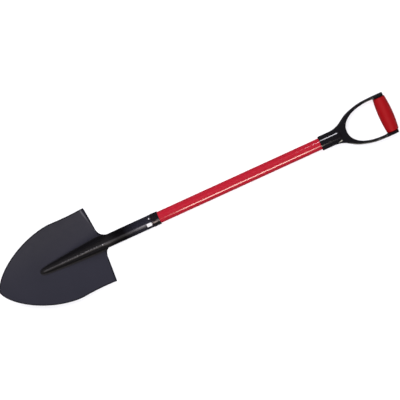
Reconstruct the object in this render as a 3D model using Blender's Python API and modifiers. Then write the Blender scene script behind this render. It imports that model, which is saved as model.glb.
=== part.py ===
"""Round point shovel with a steel blade, a fibreglass shaft and a moulded D-grip.

The shovel lies on its back with its hollow face up. +X runs along the shaft from the blade to the
grip, +Z is up, and the origin is on the ground under the middle of the shovel. Distances along the
shovel are counted from the blade's tip, heights from the shaft's axis, and both are moved into
place at the end.
"""
import math

import bpy
import bmesh
import numpy as np
from mathutils import Vector

OBJECT_NAME = "round_point_shovel"
LENGTH = 1.179            # blade tip to the far side of the hand grip
AXIS_HEIGHT = 0.0205      # the shaft's axis above the ground
GAP = 0.0003              # clearance between pieces that touch
ROUND_STEPS = 48

# Stamped sheet: blade, frog ridge and socket are one piece of steel
SHEET = 0.0016
BLADE_HALF_WIDTH = 0.1113
SIDE_WAIST = 0.0017       # how far the sides draw in between the widest place and the step
NOSE_LENGTH = 0.195       # tip to widest place
NOSE_POWER_ALONG = 1.7
NOSE_POWER_ACROSS = 1.5
TIP_HALF_WIDTH = 0.0035
STEP_CORNER_X = 0.2980
STEP_INNER_X = 0.3018
STEP_INNER_Y = 0.044      # where the straight step edge turns into the neck fillet
FILLET_LENGTH = 0.020
DISH_RADIUS = 0.300
LIFT_SLOPE = 0.19         # slope of the keel at the heel, and how it steepens towards the tip
LIFT_CURVE = 0.263
HEEL_X = 0.305
HEEL_SOFTNESS = 0.006
HEEL_HEIGHT = -0.0210
TURN_LENGTH = 0.010       # the step edge is turned forward over this length ...
TURN_RISE = 0.003         # ... by this much at the corners, fading out towards the neck
TURN_FULL_Y = 0.095

# Frog: the hollow ridge that carries the socket's line down into the blade
FROG_TIP_X = 0.119
FROG_NOSE = 0.012
CREST_SLOPE = 0.039
CREST_BEND_X = 0.328
CREST_BEND_SOFTNESS = 0.006
CREST_RADIUS_TIP = 0.0085
CREST_RADIUS_STEP = 0.0110
FROG_FOOT_RADIUS = 0.0050
FLANK_ANGLE = math.radians(73)
NECK_FLANK_ANGLE = math.radians(88)

# Socket
SOCKET_RADIUS = 0.0182
SOCKET_MID_RADIUS = SOCKET_RADIUS - SHEET / 2
SOCKET_END_X = 0.4561
ROLL_START_X = 0.311      # the sheet's edges curl inwards from here ...
ROLL_END_X = 0.365        # ... and meet behind the socket from here on
SEAM_GAP = 0.0022

# Shaft
SHAFT_RADIUS = 0.0163
SHAFT_WALL = 0.0040
SHAFT_START_X = 0.368
SHAFT_END_X = 1.0238
CORE_RADIUS = SHAFT_RADIUS - SHAFT_WALL - GAP
LOWER_CORE_X = (0.3695, 0.476)
UPPER_CORE_X = (0.950, 1.0232)
CORE_CHAMFER = 0.002
COLLAR_X = (SOCKET_END_X + GAP, 0.477)
COLLAR_RADII = (0.0192, 0.0186)
COLLAR_EDGE = 0.0008

# Rivet through socket, shaft and core, turned a little away from straight up
RIVET_X = 0.4505
RIVET_TURN = math.radians(31)
RIVET_RADIUS = 0.00245
RIVET_HEAD_RADIUS = 0.0045
RIVET_HEAD_HEIGHT = 0.0022
BURR_RADIUS = 0.0052
BURR_THICKNESS = 0.0010
RIVET_TAIL_RADIUS = 0.0040
RIVET_TAIL_HEIGHT = 0.0014
RIVET_STEPS = 32

# Blank paper label on the socket
LABEL_X = (0.4385, 0.4528)
LABEL_ANGLES = (math.radians(3), math.radians(34))
LABEL_THICKNESS = 0.0002
LABEL_PIECES = 8

# D-grip, counted from its mouth
MOUTH_X = 0.9627
GRIP_SOCKET_RADIUS = 0.0204
GRIP_SOCKET_LENGTH = 0.060
GRIP_SOCKET_EDGE = 0.0008
GRIP_BORE_DEPTH = 0.0618
GRIP_LENGTH = 0.2109      # mouth to the ends of the arms
ARM_OUTLINE = [(0.032, 0.0140), (0.042, 0.0200), (0.056, 0.0243), (0.067, 0.0289), (0.089, 0.0429),
               (0.111, 0.0514), (0.140, 0.0580), (0.172, 0.0600), (GRIP_LENGTH, 0.0600)]
LOOP_APEX = 0.0803        # hand loop: a superellipse from here to its widest place
LOOP_WIDEST = 0.170
LOOP_HALF_WIDTH = 0.0520
LOOP_POWER = 2.2
BOSS_START = 0.1800       # the arms thicken inwards where they hold the hand grip
BOSS_INNER_Y = 0.0500
SIDE_OUTLINE = [(0.026, 0.0075), (0.040, 0.0115), (0.052, 0.0145), (0.064, 0.0165), (0.080, 0.0172),
                (0.105, 0.0166), (0.145, 0.0168), (0.172, 0.0198), (0.190, 0.0204)]
ARM_END_RADIUS = 0.0090
PAST_ALL = 0.080          # how far a cutter reaches so that it passes everything it cuts

# Hand grip and the crossbar inside it
CROSSBAR_X = 1.1587
CROSSBAR_RADIUS = 0.0090
SLEEVE_END_RADIUS = 0.0168
SLEEVE_MID_RADIUS = 0.0203
SLEEVE_EDGE = 0.0010
SLEEVE_PIECES = 14

# Screw that holds the D-grip, sunk into the back of its socket
SCREW_X = 0.990
SCREW_RADIUS = 0.0020
SCREW_HEAD_RADIUS = 0.0040
SCREW_HEAD_TOP = -0.0179
SCREW_HEAD_BOTTOM = -0.0201
SCREW_POINT = -0.0050
SCREW_TAPER = 0.0030
SCREW_EDGE = 0.0006

# How finely the sheet is divided
NOSE_ROWS = 19
NOSE_ROW_POWER = 1.2
NECK_ROWS = 11
NECK_ROW_POWER = 1.5
RIDGE_COLUMNS = 11
WING_COLUMNS = 5


def clear_scene():
    for old in list(bpy.data.objects):
        bpy.data.objects.remove(old, do_unlink=True)


def new_collection(name):
    collection = bpy.data.collections.new(name)
    bpy.context.scene.collection.children.link(collection)
    return collection


def new_material(name, colour, roughness, metallic=0.0):
    material = bpy.data.materials.new(name)
    material.use_nodes = True
    shader = material.node_tree.nodes["Principled BSDF"]
    shader.inputs["Base Color"].default_value = (*colour, 1.0)
    shader.inputs["Roughness"].default_value = roughness
    shader.inputs["Metallic"].default_value = metallic
    return material


def mesh_object(name, vertices, faces, collection, material=None, edges=()):
    mesh = bpy.data.meshes.new(name)
    mesh.from_pydata([tuple(v) for v in vertices], list(edges), faces)
    obj = bpy.data.objects.new(name, mesh)
    collection.objects.link(obj)
    if material:
        mesh.materials.append(material)
    return obj


def smooth(obj, angle=35):
    obj.data.shade_smooth()
    obj.data.set_sharp_from_angle(angle=math.radians(angle))


def world(from_tip, y=0.0, height=0.0):
    """Point in the world from a distance to the tip, a side offset and a height over the axis."""
    return Vector((from_tip - LENGTH / 2, y, AXIS_HEIGHT + height))


def smoothstep(value, low, high):
    t = min(max((value - low) / (high - low), 0.0), 1.0)
    return t * t * (3 - 2 * t)


# Turned pieces

def turned(name, profile, collection, material=None, closed=False, steps=ROUND_STEPS):
    """Screw a profile of (radius, height) points, listed from the top down the outer side."""
    points = [(r, 0.0, z) for r, z in profile]
    edges = [(i, i + 1) for i in range(len(points) - 1)]
    if closed:
        edges.append((len(points) - 1, 0))
    obj = mesh_object(name, points, [], collection, material, edges)
    screw = obj.modifiers.new("turn", "SCREW")
    screw.steps = steps
    screw.render_steps = steps
    screw.use_merge_vertices = True
    screw.merge_threshold = 0.00001
    return obj


def lay_along_shaft(obj):
    """Turn a piece made along Z so that its Z runs along the shaft, from the tip on."""
    obj.rotation_euler = (0.0, math.pi / 2, 0.0)
    obj.location = world(0.0)


def shaft_tube(name, start, end, outer, inner, collection, material=None):
    profile = [(outer, end), (outer, start), (inner, start), (inner, end)]
    obj = turned(name, profile, collection, material, closed=True)
    lay_along_shaft(obj)
    return obj


def shaft_plug(name, start, end, radius, chamfer, collection, material=None):
    profile = [(0.0, end), (radius - chamfer, end), (radius, end - chamfer),
               (radius, start + chamfer), (radius - chamfer, start), (0.0, start)]
    obj = turned(name, profile, collection, material)
    lay_along_shaft(obj)
    return obj


def cross_cylinder(name, radius, low, high, location, rotation, collection):
    """Cylinder along its own Z from low to high, used as a cutter or as a shape to join."""
    bpy.ops.mesh.primitive_cylinder_add(vertices=32, radius=radius, depth=high - low)
    obj = bpy.context.object
    obj.name = name
    for vertex in obj.data.vertices:
        vertex.co.z += (high + low) / 2
    for owner in list(obj.users_collection):
        owner.objects.unlink(obj)
    collection.objects.link(obj)
    obj.location = location
    obj.rotation_euler = rotation
    return obj


def boolean(obj, other, operation):
    modifier = obj.modifiers.new(operation.lower(), "BOOLEAN")
    modifier.operation = operation
    modifier.object = other
    modifier.solver = "EXACT"


def hide_cutters(collection):
    for obj in collection.objects:
        obj.hide_render = True
        obj.display_type = "WIRE"


# Blade

def blade_half_width(x):
    if x >= NOSE_LENGTH:
        along = (x - NOSE_LENGTH) / (STEP_CORNER_X - NOSE_LENGTH)
        return BLADE_HALF_WIDTH - SIDE_WAIST * math.sin(math.pi * min(along, 1.0))
    along = 1 - x / NOSE_LENGTH
    width = BLADE_HALF_WIDTH * (1 - along ** NOSE_POWER_ALONG) ** (1 / NOSE_POWER_ACROSS)
    return max(width, TIP_HALF_WIDTH)


def soft_ramp(distance, softness):
    """Zero for negative distances, the distance itself for large ones, and a soft bend between."""
    return softness * math.log1p(math.exp(distance / softness))


def keel_height(x):
    rise = soft_ramp(HEEL_X - x, HEEL_SOFTNESS)
    return HEEL_HEIGHT + LIFT_SLOPE * rise + LIFT_CURVE * rise ** 2


def step_edge_x(y):
    """Where the step edge lies, from the neck fillet out to the corner."""
    out = (y - STEP_INNER_Y) / (BLADE_HALF_WIDTH - STEP_INNER_Y)
    return STEP_INNER_X - max(out, 0.0) * (STEP_INNER_X - STEP_CORNER_X)


def sheet_height(x, y):
    into_turn = max(x - step_edge_x(y) + TURN_LENGTH, 0.0) / TURN_LENGTH
    turned_up = TURN_RISE * into_turn ** 2 * smoothstep(y, STEP_INNER_Y, TURN_FULL_Y)
    return keel_height(x) + y ** 2 / (2 * DISH_RADIUS) + turned_up


def ridge_height(x, y):
    """Height of the frog's crest over the sheet at its foot."""
    if x <= FROG_TIP_X:
        return 0.0
    ramp = soft_ramp(CREST_BEND_X - x, CREST_BEND_SOFTNESS)
    height = SOCKET_MID_RADIUS + CREST_SLOPE * ramp - sheet_height(x, y)
    nose = min((x - FROG_TIP_X) / FROG_NOSE, 1.0)
    return height * math.sqrt(1 - (1 - nose) ** 2)


def arc_points(start, angle, sweep, radius, count=12):
    """Points of an arc that leaves start with the given tangent angle and turns by sweep."""
    sign = 1 if sweep > 0 else -1
    points = []
    for i in range(1, count + 1):
        a = angle + sweep * i / count
        y = start[0] + sign * radius * (math.sin(a) - math.sin(angle))
        z = start[1] - sign * radius * (math.cos(a) - math.cos(angle))
        points.append((y, z))
    return points


def ridge_section(x):
    """Half section of the frog from its crest to its foot, as (y, height) points."""
    to_step = min(max((x - FROG_TIP_X) / (STEP_CORNER_X - FROG_TIP_X), 0.0), 1.0)
    into_neck = smoothstep(x, STEP_CORNER_X - 0.005, ROLL_START_X + 0.012)
    crest = CREST_RADIUS_TIP + (CREST_RADIUS_STEP - CREST_RADIUS_TIP) * to_step
    crest += (SOCKET_MID_RADIUS - crest) * into_neck
    steepest = FLANK_ANGLE + (NECK_FLANK_ANGLE - FLANK_ANGLE) * into_neck
    foot = FROG_FOOT_RADIUS
    foot_y = crest + foot
    for _ in range(4):
        height = ridge_height(x, foot_y)
        slope = math.atan(foot_y / DISH_RADIUS)
        fall = (crest + foot * math.cos(slope) - height) / (crest + foot)
        angle = min(steepest, math.acos(max(min(fall, 1.0), -1.0)))
        drop = crest * (1 - math.cos(angle)) + foot * (math.cos(slope) - math.cos(angle))
        flank = max(height - drop, 0.0) / math.sin(angle) if angle > 0.01 else 0.0
        foot_y = (crest * math.sin(angle) + flank * math.cos(angle)
                  + foot * (math.sin(slope) + math.sin(angle)))
    points = [(0.0, sheet_height(x, foot_y) + height)]
    points += arc_points(points[-1], 0.0, -angle, crest)
    y, z = points[-1]
    points.append((y + flank * math.cos(angle), z - flank * math.sin(angle)))
    points += arc_points(points[-1], -angle, angle + slope, foot)
    return points


def sheet_edge(x):
    """Side offset where the middle columns of the blade end: on the sheet, or at its edge."""
    if x <= STEP_INNER_X:
        return STEP_INNER_Y / BLADE_HALF_WIDTH * blade_half_width(x)
    across = STEP_INNER_Y - SOCKET_RADIUS
    past = min((x - STEP_INNER_X) / FILLET_LENGTH, 1.0)
    return STEP_INNER_Y - across * math.sqrt(1 - (1 - past) ** 2)


def trimmed_section(x):
    """Half section from the crest over the foot and along the sheet as far as sheet_edge."""
    edge = sheet_edge(x)
    points = ridge_section(x)
    if edge > points[-1][0]:
        foot = points[-1][0]
        ys = [foot + (edge - foot) * i / 10 for i in range(1, 11)]
        return points + [(y, sheet_height(x, y)) for y in ys]
    kept = [p for p in points if p[0] < edge]
    low, high = kept[-1], points[len(kept)]
    share = (edge - low[0]) / (high[0] - low[0])
    return kept + [(edge, low[1] + share * (high[1] - low[1]))]


def spaced_along(points, count):
    """count + 1 points at equal steps along a line of points."""
    line = np.array(points)
    lengths = np.hypot(*np.diff(line, axis=0).T)
    run = np.concatenate(([0.0], np.cumsum(lengths)))
    at = np.linspace(0.0, run[-1], count + 1)
    return np.stack([np.interp(at, run, line[:, 0]), np.interp(at, run, line[:, 1])], axis=1)


def tube_section(count):
    last = math.pi - SEAM_GAP / 2 / SOCKET_MID_RADIUS
    angles = np.linspace(0.0, last, count + 1)
    return SOCKET_MID_RADIUS * np.stack([np.sin(angles), np.cos(angles)], axis=1)


def middle_section(x, count):
    """Half section of the middle columns: frog on the blade, rolled tube at the socket."""
    rolled = smoothstep(x, ROLL_START_X, ROLL_END_X)
    if rolled == 1.0:
        return tube_section(count)
    flat = spaced_along(trimmed_section(x), count)
    return flat * (1 - rolled) + tube_section(count) * rolled


def wing_points(x_middle, count):
    """Points from the middle columns out to the side of the blade, as (from tip, y, height)."""
    inner = STEP_INNER_Y / BLADE_HALF_WIDTH
    points = []
    for i in range(1, count + 1):
        share = inner + (1 - inner) * i / count
        x = x_middle * step_edge_x(share * BLADE_HALF_WIDTH) / STEP_INNER_X
        y = share * blade_half_width(x)
        points.append((x, y, sheet_height(x, y)))
    return points


def row_places():
    """Distances from the tip at which the sheet's cross sections are taken."""
    turn_start = STEP_INNER_X - TURN_LENGTH
    rows = [turn_start * (i / NOSE_ROWS) ** NOSE_ROW_POWER for i in range(NOSE_ROWS + 1)]
    rows += [STEP_INNER_X - TURN_LENGTH / 2, STEP_INNER_X]
    neck = ROLL_END_X - STEP_INNER_X
    rows += [STEP_INNER_X + neck * (i / NECK_ROWS) ** NECK_ROW_POWER for i in range(1, NECK_ROWS)]
    return rows + [ROLL_END_X, (ROLL_END_X + SOCKET_END_X) / 2, SOCKET_END_X]


def blade_grid():
    """Vertices and faces of half the sheet's middle surface."""
    vertices, faces, previous = [], [], None
    for x in row_places():
        section = middle_section(x, RIDGE_COLUMNS)
        points = [(x, y, z) for y, z in section]
        if x <= STEP_INNER_X:
            points += wing_points(x, WING_COLUMNS)
        current = list(range(len(vertices), len(vertices) + len(points)))
        vertices += [world(*p) for p in points]
        if previous:
            for i in range(len(current) - 1):
                faces.append((previous[i], current[i], current[i + 1], previous[i + 1]))
        previous = current
    return vertices, faces


def make_blade(collection, material):
    vertices, faces = blade_grid()
    blade = mesh_object("blade", vertices, faces, collection, material)
    mirror = blade.modifiers.new("other_side", "MIRROR")
    mirror.use_axis = (False, True, False)
    mirror.use_clip = True
    mirror.merge_threshold = 0.0001
    solidify = blade.modifiers.new("sheet", "SOLIDIFY")
    solidify.thickness = SHEET
    solidify.offset = 0.0
    solidify.use_even_offset = True
    smooth(blade)
    return blade


# Shaft, cores, collar, rivet and label

def make_shaft(collection, materials):
    shaft = shaft_tube("shaft_tube", SHAFT_START_X, SHAFT_END_X, SHAFT_RADIUS,
                       SHAFT_RADIUS - SHAFT_WALL, collection, materials["shaft"])
    lower = shaft_plug("lower_core", *LOWER_CORE_X, CORE_RADIUS, CORE_CHAMFER,
                       collection, materials["core"])
    upper = shaft_plug("upper_core", *UPPER_CORE_X, CORE_RADIUS, CORE_CHAMFER,
                       collection, materials["core"])
    return shaft, lower, upper


def make_collar(collection, material):
    start, end = COLLAR_X
    low, high = COLLAR_RADII
    bore = SHAFT_RADIUS + GAP
    edge = COLLAR_EDGE
    profile = [(bore, end), (high - edge, end), (high, end - edge), (low, start + edge),
               (low - edge, start), (bore, start)]
    collar = turned("collar", profile, collection, material, closed=True)
    lay_along_shaft(collar)
    smooth(collar)


def dome(radius, base, height, count=5):
    """Profile of a low dome from its top down to its rim; a negative height points down."""
    angles = [math.pi / 2 * i / count for i in range(count + 1)]
    return [(radius * math.sin(a), base + height * math.cos(a)) for a in angles]


def make_rivet(collection, materials):
    seat = SOCKET_RADIUS + GAP
    tail_seat = seat + BURR_THICKNESS + GAP
    profile = dome(RIVET_HEAD_RADIUS, seat, RIVET_HEAD_HEIGHT)
    profile += [(RIVET_RADIUS, seat), (RIVET_RADIUS, -tail_seat)]
    profile += reversed(dome(RIVET_TAIL_RADIUS, -tail_seat, -RIVET_TAIL_HEIGHT))
    rivet = turned("socket_rivet", profile, collection, materials["rivet"], steps=RIVET_STEPS)
    inner = RIVET_RADIUS + GAP
    ring = [(inner, -seat), (BURR_RADIUS, -seat), (BURR_RADIUS, -seat - BURR_THICKNESS),
            (inner, -seat - BURR_THICKNESS)]
    burr = turned("rivet_burr", ring, collection, materials["rivet"], closed=True, steps=RIVET_STEPS)
    for piece in (rivet, burr):
        piece.location = world(RIVET_X)
        piece.rotation_euler = (-RIVET_TURN, 0.0, 0.0)
        smooth(piece)


def make_rivet_hole(cutters):
    return cross_cylinder("rivet_hole", RIVET_RADIUS + GAP, -PAST_ALL, PAST_ALL,
                          world(RIVET_X), (-RIVET_TURN, 0.0, 0.0), cutters)


def make_label(collection, material):
    radius = SOCKET_RADIUS + GAP + LABEL_THICKNESS / 2
    low, high = LABEL_ANGLES
    vertices, faces = [], []
    for i in range(LABEL_PIECES + 1):
        a = low + (high - low) * i / LABEL_PIECES
        for x in LABEL_X:
            vertices.append(world(x, -radius * math.sin(a), radius * math.cos(a)))
    for i in range(LABEL_PIECES):
        faces.append((2 * i, 2 * i + 2, 2 * i + 3, 2 * i + 1))
    label = mesh_object("label", vertices, faces, collection, material)
    solidify = label.modifiers.new("paper", "SOLIDIFY")
    solidify.thickness = LABEL_THICKNESS
    solidify.offset = 0.0
    smooth(label)


# D-grip

def curve_through(points, steps=4):
    """Smooth line through the points (Catmull-Rom), with steps pieces between neighbours."""
    ends = [Vector(p) for p in points]
    ends = [ends[0] * 2 - ends[1]] + ends + [ends[-1] * 2 - ends[-2]]
    line = []
    for i in range(1, len(ends) - 2):
        a, b, c, d = ends[i - 1:i + 3]
        for k in range(steps):
            t = k / steps
            line.append((b * 2 + (c - a) * t + (a * 2 - b * 5 + c * 4 - d) * t ** 2
                         + (b * 3 - a - c * 3 + d) * t ** 3) / 2)
    return line + [ends[-2]]


def arm_inner_side(count=14):
    """Inside of one arm, from the boss back to the loop's apex."""
    line = [(GRIP_LENGTH, BOSS_INNER_Y), (BOSS_START, BOSS_INNER_Y),
            (BOSS_START - 0.0025, LOOP_HALF_WIDTH)]
    for i in range(count + 1):
        turn = math.pi / 2 * i / count
        along = math.sin(turn) ** (2 / LOOP_POWER)
        across = math.cos(turn) ** (2 / LOOP_POWER) if i < count else 0.0
        line.append((LOOP_WIDEST - (LOOP_WIDEST - LOOP_APEX) * along, LOOP_HALF_WIDTH * across))
    return line


def prism(name, outline, half_depth, collection, upright):
    """Closed outline extruded both ways; upright puts the outline's second axis on Z."""
    curve = bpy.data.curves.new(name, "CURVE")
    curve.dimensions = "2D"
    curve.fill_mode = "BOTH"
    curve.extrude = half_depth
    spline = curve.splines.new("POLY")
    spline.points.add(len(outline) - 1)
    for point, (a, b) in zip(spline.points, outline):
        point.co = (a, b, 0.0, 1.0)
    spline.use_cyclic_u = True
    guide = bpy.data.objects.new(name, curve)
    collection.objects.link(guide)
    guide.location = world(MOUTH_X)
    guide.rotation_euler = (math.pi / 2 if upright else 0.0, 0.0, 0.0)
    bpy.context.view_layer.update()
    return curve_to_mesh(guide, collection)


def curve_to_mesh(guide, collection):
    evaluated = guide.evaluated_get(bpy.context.evaluated_depsgraph_get())
    mesh = bpy.data.meshes.new_from_object(evaluated)
    cage = bmesh.new()
    cage.from_mesh(mesh)
    bmesh.ops.remove_doubles(cage, verts=cage.verts, dist=0.00001)
    bmesh.ops.recalc_face_normals(cage, faces=cage.faces)
    cage.to_mesh(mesh)
    cage.free()
    name = guide.name
    obj = bpy.data.objects.new(name + "_solid", mesh)
    obj.matrix_world = guide.matrix_world
    collection.objects.link(obj)
    bpy.data.objects.remove(guide, do_unlink=True)
    obj.name = name
    return obj


def arm_end_arc(count=5):
    """Rounded back and front corners of the arm ends, seen from the side."""
    centre = (GRIP_LENGTH - ARM_END_RADIUS, SIDE_OUTLINE[-1][1] - ARM_END_RADIUS)
    angles = [math.pi / 2 * (1 - i / count) for i in range(count + 1)]
    return [(centre[0] + ARM_END_RADIUS * math.cos(a), centre[1] + ARM_END_RADIUS * math.sin(a))
            for a in angles]


def make_grip_frame(collection, cutters, material):
    upper = [tuple(p) for p in curve_through(ARM_OUTLINE)] + arm_inner_side()
    lower = [(x, -y) for x, y in reversed(upper[:-1])]
    frame = prism("grip_frame", upper + lower, PAST_ALL, collection, upright=False)
    frame.data.materials.clear()
    frame.data.materials.append(material)
    top = [tuple(p) for p in curve_through(SIDE_OUTLINE)] + arm_end_arc()
    bottom = [(x, -z) for x, z in reversed(top)]
    side = prism("grip_side", top + bottom, PAST_ALL, cutters, upright=True)
    socket = shaft_plug("grip_socket", MOUTH_X, MOUTH_X + GRIP_SOCKET_LENGTH, GRIP_SOCKET_RADIUS,
                        GRIP_SOCKET_EDGE, cutters)
    bore = shaft_plug("grip_bore", MOUTH_X - PAST_ALL, MOUTH_X + GRIP_BORE_DEPTH,
                      SHAFT_RADIUS + GAP, GAP, cutters)
    reach = (BOSS_INNER_Y + ARM_OUTLINE[-1][1]) / 2
    crossbar = cross_cylinder("crossbar", CROSSBAR_RADIUS, -reach, reach, world(CROSSBAR_X),
                              (math.pi / 2, 0.0, 0.0), cutters)
    boolean(frame, side, "INTERSECT")
    boolean(frame, socket, "UNION")
    boolean(frame, crossbar, "UNION")
    boolean(frame, bore, "DIFFERENCE")
    return frame


def make_sleeve(collection, material):
    half = BOSS_INNER_Y - GAP
    bore = CROSSBAR_RADIUS + GAP
    outer = []
    for i in range(SLEEVE_PIECES + 1):
        t = 1 - 2 * i / SLEEVE_PIECES
        bulge = SLEEVE_MID_RADIUS - (SLEEVE_MID_RADIUS - SLEEVE_END_RADIUS) * t ** 2
        outer.append((bulge, (half - SLEEVE_EDGE) * t))
    profile = [(bore, half), (SLEEVE_END_RADIUS - SLEEVE_EDGE, half), *outer,
               (SLEEVE_END_RADIUS - SLEEVE_EDGE, -half), (bore, -half)]
    sleeve = turned("hand_grip", profile, collection, material, closed=True)
    sleeve.rotation_euler = (math.pi / 2, 0.0, 0.0)
    sleeve.location = world(CROSSBAR_X)
    smooth(sleeve)


def make_screw(collection, material):
    top, bottom, point = SCREW_HEAD_TOP, SCREW_HEAD_BOTTOM, SCREW_POINT
    profile = [(0.0, point), (SCREW_RADIUS, point - SCREW_TAPER), (SCREW_RADIUS, top),
               (SCREW_HEAD_RADIUS, top), (SCREW_HEAD_RADIUS, bottom + SCREW_EDGE),
               (SCREW_HEAD_RADIUS - SCREW_EDGE, bottom), (0.0, bottom)]
    screw = turned("grip_screw", profile, collection, material, steps=RIVET_STEPS)
    screw.location = world(SCREW_X)
    smooth(screw)


def make_screw_holes(cutters):
    pilot = cross_cylinder("screw_pilot", SCREW_RADIUS + GAP, -PAST_ALL, SCREW_POINT + GAP,
                           world(SCREW_X), (0.0, 0.0, 0.0), cutters)
    seat = cross_cylinder("screw_seat", SCREW_HEAD_RADIUS + GAP, -PAST_ALL, SCREW_HEAD_TOP + GAP,
                          world(SCREW_X), (0.0, 0.0, 0.0), cutters)
    return pilot, seat


def make_materials():
    return {
        "steel": new_material("painted_steel", (0.040, 0.040, 0.050), 0.45, 0.2),
        "collar": new_material("collar_plastic", (0.012, 0.012, 0.014), 0.40),
        "shaft": new_material("red_fibreglass", (0.520, 0.022, 0.045), 0.28),
        "core": new_material("core_wood", (0.450, 0.290, 0.150), 0.70),
        "rivet": new_material("rivet_steel", (0.550, 0.550, 0.560), 0.35, 1.0),
        "label": new_material("label_paper", (0.850, 0.850, 0.860), 0.40),
        "grip": new_material("grip_plastic", (0.010, 0.010, 0.012), 0.30),
        "hand": new_material("hand_grip_rubber", (0.370, 0.009, 0.013), 0.50),
        "screw": new_material("screw_steel", (0.500, 0.500, 0.520), 0.35, 1.0),
    }


def main():
    clear_scene()
    parts = new_collection(OBJECT_NAME)
    cutters = new_collection("cutters")
    materials = make_materials()
    blade = make_blade(parts, materials["steel"])
    shaft, lower_core, upper_core = make_shaft(parts, materials)
    make_collar(parts, materials["collar"])
    make_rivet(parts, materials)
    make_label(parts, materials["label"])
    frame = make_grip_frame(parts, cutters, materials["grip"])
    make_sleeve(parts, materials["hand"])
    make_screw(parts, materials["screw"])
    rivet_hole = make_rivet_hole(cutters)
    pilot, seat = make_screw_holes(cutters)
    for piece in (blade, shaft, lower_core):
        boolean(piece, rivet_hole, "DIFFERENCE")
    for piece in (frame, shaft, upper_core):
        boolean(piece, pilot, "DIFFERENCE")
    boolean(frame, seat, "DIFFERENCE")
    for piece in (shaft, lower_core, upper_core, frame):
        smooth(piece)
    hide_cutters(cutters)


main()
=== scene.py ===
"""Looks of the round point shovel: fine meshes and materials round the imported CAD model.

The shovel lies on its back along X with its hollow face up. As in the CAD model, distances along
the shovel are counted from the blade's tip and heights from the shaft's axis.
"""
import math

import bmesh
import bpy
import numpy as np
from mathutils import Matrix, Vector

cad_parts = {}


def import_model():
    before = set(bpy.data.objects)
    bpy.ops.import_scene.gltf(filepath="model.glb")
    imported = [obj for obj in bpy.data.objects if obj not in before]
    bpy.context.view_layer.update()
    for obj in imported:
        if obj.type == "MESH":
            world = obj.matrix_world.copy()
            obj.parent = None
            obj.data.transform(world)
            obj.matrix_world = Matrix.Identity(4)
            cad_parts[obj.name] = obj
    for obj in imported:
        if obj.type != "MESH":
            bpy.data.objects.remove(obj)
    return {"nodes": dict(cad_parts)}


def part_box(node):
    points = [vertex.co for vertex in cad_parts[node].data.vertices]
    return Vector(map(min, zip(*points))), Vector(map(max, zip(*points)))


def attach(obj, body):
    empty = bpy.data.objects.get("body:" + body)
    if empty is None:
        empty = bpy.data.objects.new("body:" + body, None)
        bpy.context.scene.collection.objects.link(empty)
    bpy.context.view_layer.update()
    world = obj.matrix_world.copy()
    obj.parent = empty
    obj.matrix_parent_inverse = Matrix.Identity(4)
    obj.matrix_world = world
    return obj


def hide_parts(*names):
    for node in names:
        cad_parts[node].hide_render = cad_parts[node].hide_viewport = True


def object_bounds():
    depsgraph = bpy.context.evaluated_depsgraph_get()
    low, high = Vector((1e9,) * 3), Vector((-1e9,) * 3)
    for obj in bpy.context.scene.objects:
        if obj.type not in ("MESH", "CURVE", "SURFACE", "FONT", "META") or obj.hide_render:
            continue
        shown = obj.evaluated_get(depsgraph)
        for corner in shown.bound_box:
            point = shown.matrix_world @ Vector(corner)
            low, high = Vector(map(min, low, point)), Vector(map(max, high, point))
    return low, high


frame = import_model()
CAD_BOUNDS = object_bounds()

# Places and sizes read from the CAD model
BLADE_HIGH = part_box("blade")[1]
SHAFT_LOW, SHAFT_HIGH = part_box("shaft_tube")
COLLAR_LOW, COLLAR_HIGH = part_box("collar")
RIVET_LOW, RIVET_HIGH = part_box("socket_rivet")
FRAME_LOW, FRAME_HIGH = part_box("grip_frame")
HAND_LOW, HAND_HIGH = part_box("hand_grip")
SCREW_LOW, SCREW_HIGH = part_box("grip_screw")
LABEL_LOW, LABEL_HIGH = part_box("label")

GAP = 0.0003  # clearance between neighbouring pieces
AXIS_Z = (SHAFT_LOW.z + SHAFT_HIGH.z) / 2
TIP_X = -CAD_BOUNDS[1][0]  # world X of the blade's tip: the origin is at mid length
CROSSBAR_X = (HAND_LOW.x + HAND_HIGH.x) / 2
SCREW_X = (SCREW_LOW.x + SCREW_HIGH.x) / 2
SHAFT_RADIUS = (SHAFT_HIGH.y - SHAFT_LOW.y) / 2
SHAFT_WALL = 0.0040
SHAFT_EDGE = 0.0004
SHAFT_RINGS = 24

# Stamped sheet, as in the CAD model
SHEET = 0.0016
BLADE_HALF_WIDTH = 0.1113
SIDE_WAIST = 0.0017
NOSE_LENGTH = 0.195
NOSE_POWER_ALONG = 1.7
NOSE_POWER_ACROSS = 1.5
TIP_HALF_WIDTH = 0.0035
STEP_CORNER_X = 0.2980
STEP_INNER_X = 0.3018
STEP_INNER_Y = 0.044
FILLET_LENGTH = 0.020
NECK_START_X = STEP_INNER_X + FILLET_LENGTH
DISH_RADIUS = 0.300
LIFT_SLOPE = 0.19
LIFT_CURVE = 0.263
HEEL_X = 0.305
HEEL_SOFTNESS = 0.006
HEEL_HEIGHT = -0.0210
TURN_LENGTH = 0.010
TURN_RISE = 0.003
TURN_FULL_Y = 0.095
FROG_TIP_X = 0.119
FROG_NOSE = 0.012
CREST_SLOPE = 0.039
CREST_BEND_X = 0.328
CREST_BEND_SOFTNESS = 0.006
CREST_RADIUS_TIP = 0.0085
CREST_RADIUS_STEP = 0.0110
FROG_FOOT_RADIUS = 0.0050
FLANK_ANGLE = math.radians(73)
NECK_FLANK_ANGLE = math.radians(88)
SOCKET_RADIUS = 0.0182
SOCKET_MID_RADIUS = SOCKET_RADIUS - SHEET / 2
SOCKET_END_X = BLADE_HIGH.x - TIP_X
ROLL_START_X = 0.311
ROLL_END_X = 0.365
SEAM_GAP = 0.0022
RIM_ROUNDING = 0.0005
RIDGE_COLUMNS = 36
WING_COLUMNS = 26
WING_CROWDING = 1.5       # above 1, the columns crowd towards the sheet's edge
PROBE = 1e-4               # step over which a slope is measured

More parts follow.
